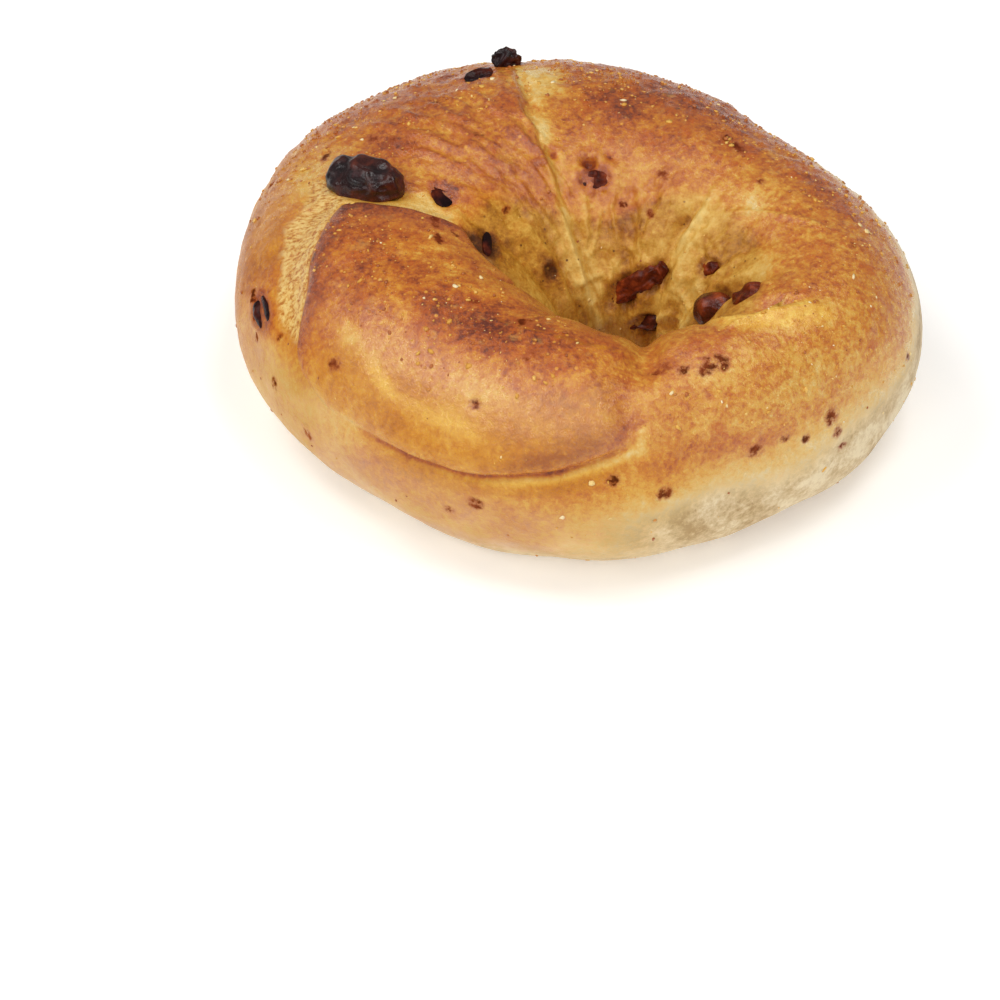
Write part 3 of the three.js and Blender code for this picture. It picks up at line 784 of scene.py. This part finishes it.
# Scraps of raisin skin: a frayed dark core in a brown halo
ragged = add("TexNoise", {"Vector": place, "Scale": METRE / FRAYS_APART, "Detail": 3.0, "Roughness": 0.65})
frayed = add("MapRange", {"Value": ragged, **MIDDLE, "To Min": -0.7, "To Max": 0.7})
stain = add("Math", {0: zones["speck"], 1: frayed, 2: zones["speck"]}, operation="MULTIPLY_ADD")
halo = add("MapRange", {"Value": stain, "From Min": 0.2, "From Max": 0.7, "To Max": 0.7})
colour = add("Mix", {0: halo, 6: colour, 7: linear("#a4501f")}, 2, data_type="RGBA")
core = add("MapRange", {"Value": stain, "From Min": 0.6, "From Max": 1.1, "To Max": 0.9})
fruit = add("ValToRGB", {"Fac": mottle}, stops=((0.38, "#43170e"), (0.5, "#692a18"), (0.62, "#914a2c")))
colour = add("Mix", {0: core, 6: colour, 7: fruit}, 2, data_type="RGBA")

# Fine bumps of the skin, and its gloss: highest on the lap, least on flour, in the funnel and on scraps
crinkles = add(
    "TexNoise",
    {"Vector": place, "Scale": METRE / CRINKLES_APART, "Detail": 4.0, "Distortion": 0.8},
    noise_type="RIDGED_MULTIFRACTAL",
)
crinkles = add("MapRange", {"Value": crinkles, "From Min": 0.3, "From Max": 1.2, "To Max": 1.2})
crinkles = add("Math", {0: crinkles, 1: zones["crinkled"]}, operation="MULTIPLY")
height = add("MapRange", {"Value": mottle, **MIDDLE, "To Max": 0.35})
height = add("Math", {0: height, 1: grain})
height = add("Math", {0: height, 1: crinkles})
bump = add("Bump", {"Height": height, "Strength": 0.9, "Distance": 0.25 * MM})
dull = add("Math", {0: zones["funnel"], 1: 0.12}, operation="MULTIPLY")
dull = add("Math", {0: zones["belt"], 1: 0.25, 2: dull}, operation="MULTIPLY_ADD")
rough = add("MapRange", {"Value": grain, **MIDDLE, "To Min": 0.22, "To Max": 0.36})
rough = add("Math", {0: rough, 1: dull})
glaze = add("Math", {0: zones["glossy"], 1: 1.2, 2: -0.35}, operation="MULTIPLY_ADD")
glaze = add("Math", {0: dull, 1: -2.0, 2: glaze}, operation="MULTIPLY_ADD", use_clamp=True)
glaze = add("Math", {0: core, 1: -0.8, 2: glaze}, operation="MULTIPLY_ADD", use_clamp=True)
sheen = add("MapRange", {"Value": zones["glossy"], "To Min": 0.1, "To Max": 0.9})
sheen = add("Math", {0: core, 1: -0.5, 2: sheen}, operation="MULTIPLY_ADD", use_clamp=True)
skin = add(
    "BsdfPrincipled",
    {
        "Base Color": colour,
        "Roughness": rough,
        "IOR": 1.52,
        "Specular IOR Level": sheen,
        "Normal": bump,
        "Coat Weight": glaze,
        "Coat Roughness": 0.18,
        "Coat IOR": 1.5,
        "Coat Normal": bump,
    },
)
add("OutputMaterial", {"Surface": skin}, None)
bagel.data.materials.append(bpy.data.materials["baked_dough_skin"])


# Raisins
# Dried grapes kneaded into the dough. Each is a shrunken, wrinkled skin over sticky pulp, held in its
# own pocket of the crust.

# How far each stands out of the crust in millimetres, how round it is, how red, how deeply wrinkled, how
# deep in millimetres its torn middle lies under the dough, and how far it spreads along and across its
# pocket
RAISIN_LOOKS = {
    "raisin_01": (4.0, 0.85, 0.25, 0.8, 0.0, 1.02, 1.0),
    "raisin_02": (0.1, 0.9, 0.15, 0.6, 0.0, 1.0, 0.9),
    "raisin_03": (0.1, 0.9, 0.05, 0.6, 0.0, 0.95, 0.45),
    "raisin_04": (1.0, 0.8, 0.85, 1.6, 0.3, 1.15, 0.8),
    "raisin_05": (1.2, 1.0, 0.35, 0.9, 0.0, 2.3, 0.8),
    "raisin_06": (3.8, 1.0, 0.65, 0.4, 0.0, 0.92, 0.98),
    "raisin_07": (1.2, 0.8, 0.90, 1.0, 0.5, 1.0, 1.0),
    "raisin_08": (0.6, 0.9, 1.00, 0.9, 0.1, 0.9, 0.9),
    "raisin_09": (2.6, 0.8, 0.05, 1.8, 0.0, 1.0, 1.0),
    "raisin_10": (0.6, 0.8, 0.15, 2.2, 0.5, 1.0, 1.0),
    "raisin_11": (0.3, 0.9, 0.10, 0.6, 0.8, 1.0, 1.0),
    "raisin_12": (0.3, 0.9, 0.70, 0.8, 0.2, 1.0, 1.0),
    "raisin_13": (0.8, 0.9, 0.30, 1.0, 0.0, 1.0, 1.0),
    "raisin_14": (0.8, 0.9, 0.20, 1.0, 0.3, 1.0, 1.0),
    "raisin_15": (0.8, 0.9, 0.30, 1.0, 0.0, 1.0, 1.0),
}
# Raisin skin: dark, sticky and wrinkled. It gives the eye sharp glints on black purple, and red where
# light comes through the pulp. A raisin that stands proud of the crust catches more light.
BLOTCHES_APART = 2.0
PUCKERS_APART = 0.5
tree = new_material("raisin_skin")
place = add("TexCoord", {}, "Object")
blotch = add("TexNoise", {"Vector": place, "Scale": METRE / BLOTCHES_APART, "Detail": 4.0, "Roughness": 0.6})
red = add("Attribute", {}, "Fac", attribute_name="red")
black = add("ValToRGB", {"Fac": blotch}, stops=((0.3, "#10080a"), (0.55, "#1f0d0f"), (0.75, "#3a1517")))
ruddy = add("ValToRGB", {"Fac": blotch}, stops=((0.3, "#3a140c"), (0.5, "#66240f"), (0.7, "#9a4218")))
colour = add("Mix", {0: red, 6: black, 7: ruddy}, 2, data_type="RGBA")
sticky = add("MapRange", {"Value": blotch, **MIDDLE, "To Min": 0.2, "To Max": 0.4})
proud = add("Attribute", {}, "Fac", attribute_name="proud")
glint = add("Math", {0: proud, 1: 0.45}, operation="MULTIPLY")
puckers = add("TexNoise", {"Vector": place, "Scale": METRE / PUCKERS_APART, "Detail": 3.0})
bump = add("Bump", {"Height": puckers, "Strength": 0.5, "Distance": 0.2 * MM})
skin = add(
    "BsdfPrincipled",
    {"Base Color": colour, "Roughness": sticky, "IOR": 1.43, "Specular IOR Level": glint, "Normal": bump},
)
add("OutputMaterial", {"Surface": skin}, None)

ball = bmesh.new()
bmesh.ops.create_icosphere(ball, subdivisions=5, radius=1)
ball_points = np.array([v.co for v in ball.verts])
ball_faces = [[v.index for v in face.verts] for face in ball.faces]
ball.free()
for seed, (name, (centre, axes, half, level)) in enumerate(raisins.items()):
    stand, roundness, redness, wrinkled_by, torn_by, long, wide = RAISIN_LOOKS[name]
    # A lumpy ball, whose part above the crust is brought to the height that it stands out
    body = np.sign(ball_points) * np.abs(ball_points) ** roundness * half * (long, wide, 1)
    body = body * (1.03 + 0.10 * lumps(body, 4.5, 100 + seed) + 0.08 * lumps(body, 2, 110 + seed))[:, None]
    above = body[:, 2] - level
    body[:, 2] = np.where(above > 0, level + above * stand / above.max(), body[:, 2])
    # Folds, finer creases and broad dents along the way out of the ball
    outward = ball_points / half
    outward /= np.linalg.norm(outward, axis=1, keepdims=True)
    bent = body * (0.7, 1, 1) + 0.9 * shifts(body, 2.6, (seed + 120, seed + 140, seed + 160))
    folds_apart = 0.4 + 0.8 * half[1]
    deep = wrinkled_by * min(0.26 * half[1], 0.1 + 0.35 * stand)
    folds = bell(lumps(bent, folds_apart, 23 + seed), 0.28) - 0.5
    creases = bell(lumps(bent, 0.45 * folds_apart, 40 + seed), 0.3) - 0.5
    dents = lumps(bent, 1.3 * folds_apart, 60 + seed)
    body = body + outward * (deep * (folds + 0.35 * creases + 0.5 * dents))[:, None]
    # A band across the middle that sinks under the dough
    along, across = body[:, 0] / half[0], body[:, 1] / half[1]
    torn = bell(along + 2.0 * across + 0.5 * lumps(body, 3, 180 + seed), 0.8)
    body[:, 2] -= torn_by * torn
    piece = mesh_piece("wrinkled_" + name, centre + body @ axes, ball_faces, "raisin", name)
    set_layer(piece, "proud", np.full(len(body), 0.2 + stand / 4))
    set_layer(piece, "red", redness + 0.35 * lumps(body, 3, 80 + seed) + 0.25 * along + 0.2 * folds)
    piece.data.materials.append(bpy.data.materials["raisin_skin"])


# Blisters
# Bubbles that rose in the wet skin and dried hard in the oven, amber and glassy, most of them on the
# far side where the crust is darkest. All of them are one piece.
BLISTER_COUNT = 1500
BLISTER_SEED = 31
BLISTER_HALF_WIDTH = 0.24
LARGEST_HALF_WIDTH = 0.5
LUMP_SIDES = 7
LUMP_SHOULDER, LUMP_SHOULDER_HEIGHT = 0.82, 0.57


def scattered(name, count, chance, half_sizes, seed, slot):
    """Small closed lumps on the crust, drawn at random by the chance at each point of its grid."""
    draw = np.random.default_rng(seed)
    to_next_ring, to_next_section = (np.roll(crust, -1, axis) - crust for axis in (0, 1))
    area = np.linalg.norm(np.cross(to_next_ring, to_next_section), axis=-1)
    weight = (chance * area).ravel()
    chosen = draw.choice(weight.size, count, replace=False, p=weight / weight.sum())
    # A lump is a point on top, two rings of corners and a point below
    turns = np.arange(LUMP_SIDES) * 2 * math.pi / LUMP_SIDES
    around = np.stack([np.cos(turns) * LUMP_SHOULDER, np.sin(turns) * LUMP_SHOULDER, 0 * turns], axis=-1)
    lift = np.array([0, 0, LUMP_SHOULDER_HEIGHT])
    unit = np.concatenate([[[0, 0, 1]], around + lift, around - lift, [[0, 0, -1]]])
    upper, lower = 1, 1 + LUMP_SIDES
    bottom = len(unit) - 1
    nexts = np.roll(np.arange(LUMP_SIDES), -1)
    faces = [[0, upper + i, upper + j] for i, j in enumerate(nexts)]
    faces += [[upper + i, lower + i, lower + j, upper + j] for i, j in enumerate(nexts)]
    faces += [[bottom, lower + j, lower + i] for i, j in enumerate(nexts)]
    up = out.reshape(-1, 3)[chosen]
    side = np.cross(up, draw.normal(size=up.shape))
    side /= np.linalg.norm(side, axis=1, keepdims=True)
    axes = np.stack([side, np.cross(up, side), up], axis=1)
    half = half_sizes(draw, count)
    jitter = 1 + draw.uniform(-0.3, 0.3, (count, len(unit), 1))
    points = np.einsum("nka,nab->nkb", unit * jitter * half[:, None, :], axes)
    points = points + crust.reshape(-1, 3)[chosen][:, None, :]
    all_faces = [[corner + len(unit) * n for corner in face] for n in range(count) for face in faces]
    piece = mesh_piece(name, points.reshape(-1, 3), all_faces, slot)
    set_layer(piece, "shade", np.repeat(draw.random(count), len(unit)))
    return piece


def blister_sizes(draw, count):
    """Half sizes of blisters along, across and out of the crust."""
    wide = np.minimum(BLISTER_HALF_WIDTH * np.exp(draw.normal(0, 0.4, (count, 1))), LARGEST_HALF_WIDTH)
    shares = [np.ones(count), draw.uniform(0.6, 1, count), draw.uniform(0.35, 0.65, count)]
    return wide * np.stack(shares, axis=-1)


# In clusters, most of them on the far side and none so low that it would go through the floor
blistered = 0.01 + zone(8, 104, 25, 88) + 0.7 * zone(108, 168, 20, 76) + 0.4 * zone(182, 262, 58, 108)
blistered = blistered + 0.2 * zone(318, 8, 40, 95) + 0.1 * zone(284, 320, 40, 80)
clear_of_floor = smooth(0.6, 1.2, crust[..., 2])
clustered = 0.35 + smooth(0.0, 0.4, lumps(plain, 6, 22))
blistered = blistered * clear_of_floor * (1 - stretched) * (1 - seam_pale) * clustered
blisters = scattered("blisters", BLISTER_COUNT, blistered, blister_sizes, BLISTER_SEED, "crust")
# Blistered skin: thin, hard and clear. It gives the eye small amber glints.
tree = new_material("blistered_skin")
shade = add("Attribute", {}, "Fac", attribute_name="shade")
colour = add(
    "ValToRGB",
    {"Fac": shade},
    stops=((0.0, "#9c4f22"), (0.5, "#b96a2a"), (0.8, "#cf8f3a"), (1.0, "#e6b45a")),
)
skin = add("BsdfPrincipled", {"Base Color": colour, "Roughness": 0.3, "IOR": 1.5})
add("OutputMaterial", {"Surface": skin}, None)
blisters.data.materials.append(bpy.data.materials["blistered_skin"])


# Grits
# Coarse cornmeal from the baker's board, dry chips that stuck to the wet dough before it was baked. One in
# a couple of dozen is a broad flake. All of them are one piece.
GRIT_COUNT = 1200
GRIT_SEED = 47
GRIT_HALF_WIDTH = 0.17
FLAKE_HALF_WIDTH = 0.65
FLAKE_EVERY = 24


def grit_sizes(draw, count):
    """Half sizes of grits along, across and out of the crust."""
    wide = np.minimum(GRIT_HALF_WIDTH * np.exp(draw.normal(0, 0.55, (count, 1))), LARGEST_HALF_WIDTH)
    wide[::FLAKE_EVERY] = FLAKE_HALF_WIDTH
    shares = [np.ones(count), draw.uniform(0.4, 0.8, count), draw.uniform(0.25, 0.5, count)]
    return wide * np.stack(shares, axis=-1)


gritty = 0.06 + zone(5, 160, 28, 88) + 0.6 * zone(180, 262, 56, 108) + 0.5 * zone(296, 5, 30, 95)
gritty = gritty * clear_of_floor * (1 - stretched) * (0.2 + smooth(0.0, 0.4, lumps(plain, 5, 28)))
grits = scattered("grits", GRIT_COUNT, gritty, grit_sizes, GRIT_SEED, "crust")
# Cornmeal: ground corn, toasted in the oven. It gives the eye golden specks, some of them pale.
tree = new_material("cornmeal")
shade = add("Attribute", {}, "Fac", attribute_name="shade")
colour = add(
    "ValToRGB",
    {"Fac": shade},
    stops=((0.0, "#d08f2c"), (0.6, "#dfab48"), (0.85, "#ecc878"), (1.0, "#f3e4bc")),
)
chips = add("BsdfPrincipled", {"Base Color": colour, "Roughness": 0.5})
add("OutputMaterial", {"Surface": chips}, None)
grits.data.materials.append(bpy.data.materials["cornmeal"])


# Floor, light and camera
# A plain pale floor in a bright room, with five softboxes in front, to the sides and above. The camera
# stands as high over the bagel as the one that took the picture.
FLOOR_HALF = 3
FLOOR_GLOW = 0.23
ROOM_LIGHT = 0.26
floor_corners = [(FLOOR_HALF * x, FLOOR_HALF * y, 0) for x, y in ((-1, -1), (1, -1), (1, 1), (-1, 1))]
floor_mesh = bpy.data.meshes.new("floor")
floor_mesh.from_pydata(floor_corners, [], [(0, 1, 2, 3)])
floor = bpy.data.objects.new("floor", floor_mesh)
bpy.context.scene.collection.objects.link(floor)
# White paint: matt, and lit a little from within, so it gives the eye an even pale ground.
tree = new_material("white_floor")
paint = add(
    "BsdfPrincipled",
    {
        "Base Color": linear("#fbfaf8"),
        "Roughness": 0.9,
        "Emission Color": linear("#ffffff"),
        "Emission Strength": FLOOR_GLOW,
    },
)
add("OutputMaterial", {"Surface": paint}, None)
floor_mesh.materials.append(bpy.data.materials["white_floor"])
floor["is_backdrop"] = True

world = bpy.data.worlds.new("studio")
world.use_nodes = True
world.node_tree.nodes["Background"].inputs["Color"].default_value = linear("#ffffff")
world.node_tree.nodes["Background"].inputs["Strength"].default_value = ROOM_LIGHT
bpy.context.scene.world = world


def softbox(name, location, wide, deep, power):
    """Adds a lamp that faces the bagel, with its place and size in metres and its power in watts."""
    lamp = bpy.data.lights.new(name, "AREA")
    lamp.shape = "RECTANGLE"
    lamp.size, lamp.size_y = wide, deep
    lamp.energy = power
    box = bpy.data.objects.new(name, lamp)
    box.location = location
    box.rotation_euler = (-box.location).to_track_quat("-Z", "Y").to_euler()
    bpy.context.scene.collection.objects.link(box)


softbox("left_front_softbox", (-0.52, -0.28, 0.54), 0.36, 0.18, 1.0)
softbox("front_softbox", (-0.18, -0.57, 0.54), 0.36, 0.18, 1.1)
softbox("left_softbox", (-0.40, 0.06, 0.69), 0.30, 0.30, 1.7)
softbox("right_softbox", (0.40, -0.57, 0.40), 0.20, 0.20, 1.0)
softbox("top_softbox", (0.22, -0.02, 0.76), 0.40, 0.30, 2.0)

CAMERA_HEIGHT_ANGLE = 40
CAMERA_DISTANCE = 0.62
CAMERA_TILT, CAMERA_TURN = 46.893, 1.37
LENS = 135
LOOKED_AT = (-1.268 * MM, -1.493 * MM, 19 * MM)
camera_data = bpy.data.cameras.new("camera")
camera_data.lens = LENS
camera = bpy.data.objects.new("camera", camera_data)
rise = math.radians(CAMERA_HEIGHT_ANGLE)
camera.location = (
    LOOKED_AT[0],
    LOOKED_AT[1] - CAMERA_DISTANCE * math.cos(rise),
    LOOKED_AT[2] + CAMERA_DISTANCE * math.sin(rise),
)
camera.rotation_euler = (math.radians(CAMERA_TILT), 0, math.radians(CAMERA_TURN))
bpy.context.scene.collection.objects.link(camera)
bpy.context.scene.camera = camera
bpy.context.scene.view_settings.view_transform = "Standard"

bpy.context.view_layer.update()
low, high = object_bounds()
